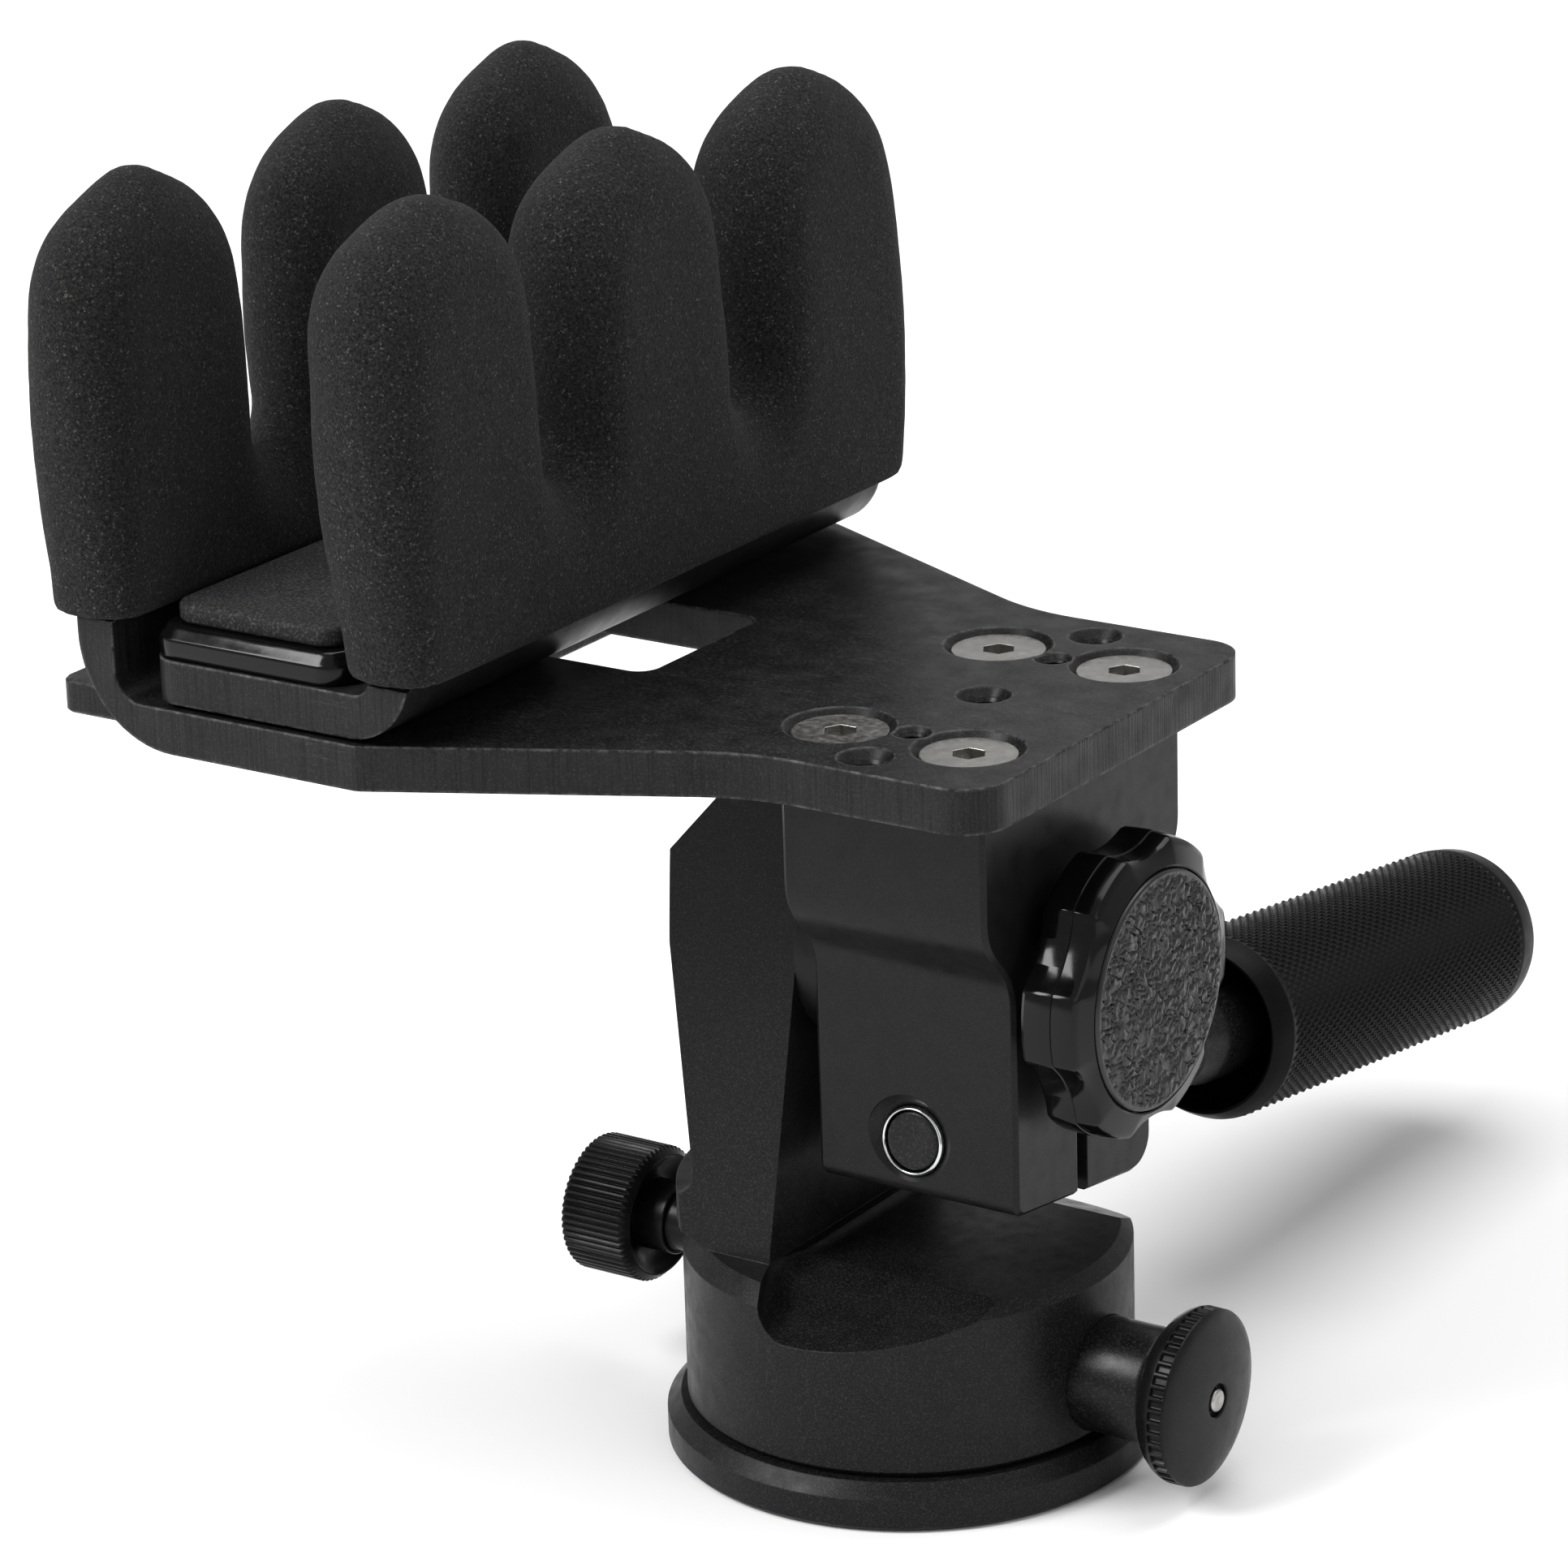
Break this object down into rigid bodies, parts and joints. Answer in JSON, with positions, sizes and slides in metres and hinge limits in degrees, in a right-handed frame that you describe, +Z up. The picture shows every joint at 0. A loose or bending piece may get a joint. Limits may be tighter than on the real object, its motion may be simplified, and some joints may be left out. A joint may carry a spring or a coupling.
{
  "type": "alt azimuth mount",
  "caption": "Pan and tilt head with clamp handle, drag knob and pull pin, carrying an offset plate with two foam-padded jaws, one of which slides, as an open cradle.",
  "frame": {"origin": "mouth of the tripod thread, on the pan axis, in the plane of the base flange's underside", "axes": "+Z up along the pan axis; +X along the tilt axis towards the drag knob, so the cradle is on the -X side; +Y the way the clamp handle points"},
  "size_m": [0.1568, 0.1987, 0.1738],
  "materials": {
    "anodised_head": "satin black anodised, fine blasted grain",
    "anodised_block": "satin black anodised, smooth",
    "anodised_plate": "black anodised, worn and dusty, sawn edges",
    "knurled_metal": "black anodised, knurled",
    "turned_black": "black anodised, turned",
    "bright_steel": "bare stainless, turned",
    "steel": "bare",
    "bronze": "machined",
    "polymer": "black, self-lubricating",
    "knob_gloss": "black, moulded",
    "knob_texture": "black, wrinkle texture",
    "tray_gloss": "black, moulded",
    "pad_rubber": "matte, finely speckled",
    "foam": "closed-cell foam, fine grain"
  },
  "bodies": {
    "base": {"base_flange": "anodised_head", "tripod_insert": "steel", "pan_spindle": "anodised_head", "spindle_screws": "steel", "thrust_washer": "polymer"},
    "pan_head": {"pan_body": "anodised_head", "plunger_barrel": "turned_black", "plunger_spring": "steel", "pan_lock_shoe": "polymer", "tilt_shaft": "steel", "friction_disc": "polymer", "drag_washer": "steel", "spring_washer": "steel"},
    "pan_lock": {"pan_lock_knob": "knurled_metal", "pan_lock_screw": "turned_black"},
    "pull_pin": {"plunger_knob": "knurled_metal", "plunger_pin": "steel"},
    "drag_control": {"drag_knob": "knob_gloss", "knob_bushing": "bronze", "knob_insert": "knob_texture"},
    "tilt_head": {"tilt_block": "anodised_block", "tilt_bush_inner": "bronze", "tilt_bush_outer": "bronze", "clamp_nut": "bright_steel", "handle_washer": "polymer", "saddle_plate": "anodised_plate", "plate_screws": "bright_steel", "fixed_jaw_sleeve": "foam"},
    "clamp_handle": {"clamp_stud": "steel", "handle_stem": "turned_black", "handle_grip": "knurled_metal"},
    "sliding_jaw": {"moving_jaw": "anodised_plate", "guide_block": "anodised_plate", "slide_plate": "anodised_plate", "jaw_screws": "steel", "support_tray": "tray_gloss", "rubber_pad": "pad_rubber", "moving_jaw_sleeve": "foam"}
  },
  "joints": [
    {"name": "pan", "type": "hinge", "parent": "base", "child": "pan_head", "pos_m": [0, 0, 0], "axis": [0, 0, 1], "continuous": true},
    {"name": "tilt", "type": "hinge", "parent": "pan_head", "child": "tilt_head", "pos_m": [0, 0, 0.0698], "axis": [1, 0, 0], "range_deg": [-12, 90]},
    {"name": "clamp_twist", "type": "hinge", "parent": "tilt_head", "child": "clamp_handle", "pos_m": [0.011, -0.0162, 0.049], "axis": [0, 0.9905, -0.1374], "range_deg": [-180, 180]},
    {"name": "jaw_slide", "type": "slide", "parent": "tilt_head", "child": "sliding_jaw", "axis": [1, 0, 0], "range_m": [0, 0.0265]},
    {"name": "pan_lock_twist", "type": "hinge", "parent": "pan_head", "child": "pan_lock", "pos_m": [-0.045, 0, 0.0221], "axis": [-1, 0, 0], "range_deg": [0, 270]},
    {"name": "pull_pin_slide", "type": "slide", "parent": "pan_head", "child": "pull_pin", "axis": [1, 0, 0], "range_m": [0, 0.0045], "stiffness_N_per_m": 700, "springref_m": -0.004, "deforming": ["plunger_spring"]},
    {"name": "drag_twist", "type": "hinge", "parent": "pan_head", "child": "drag_control", "pos_m": [0.034, 0, 0.0698], "axis": [1, 0, 0], "range_deg": [-180, 180]}
  ]
}
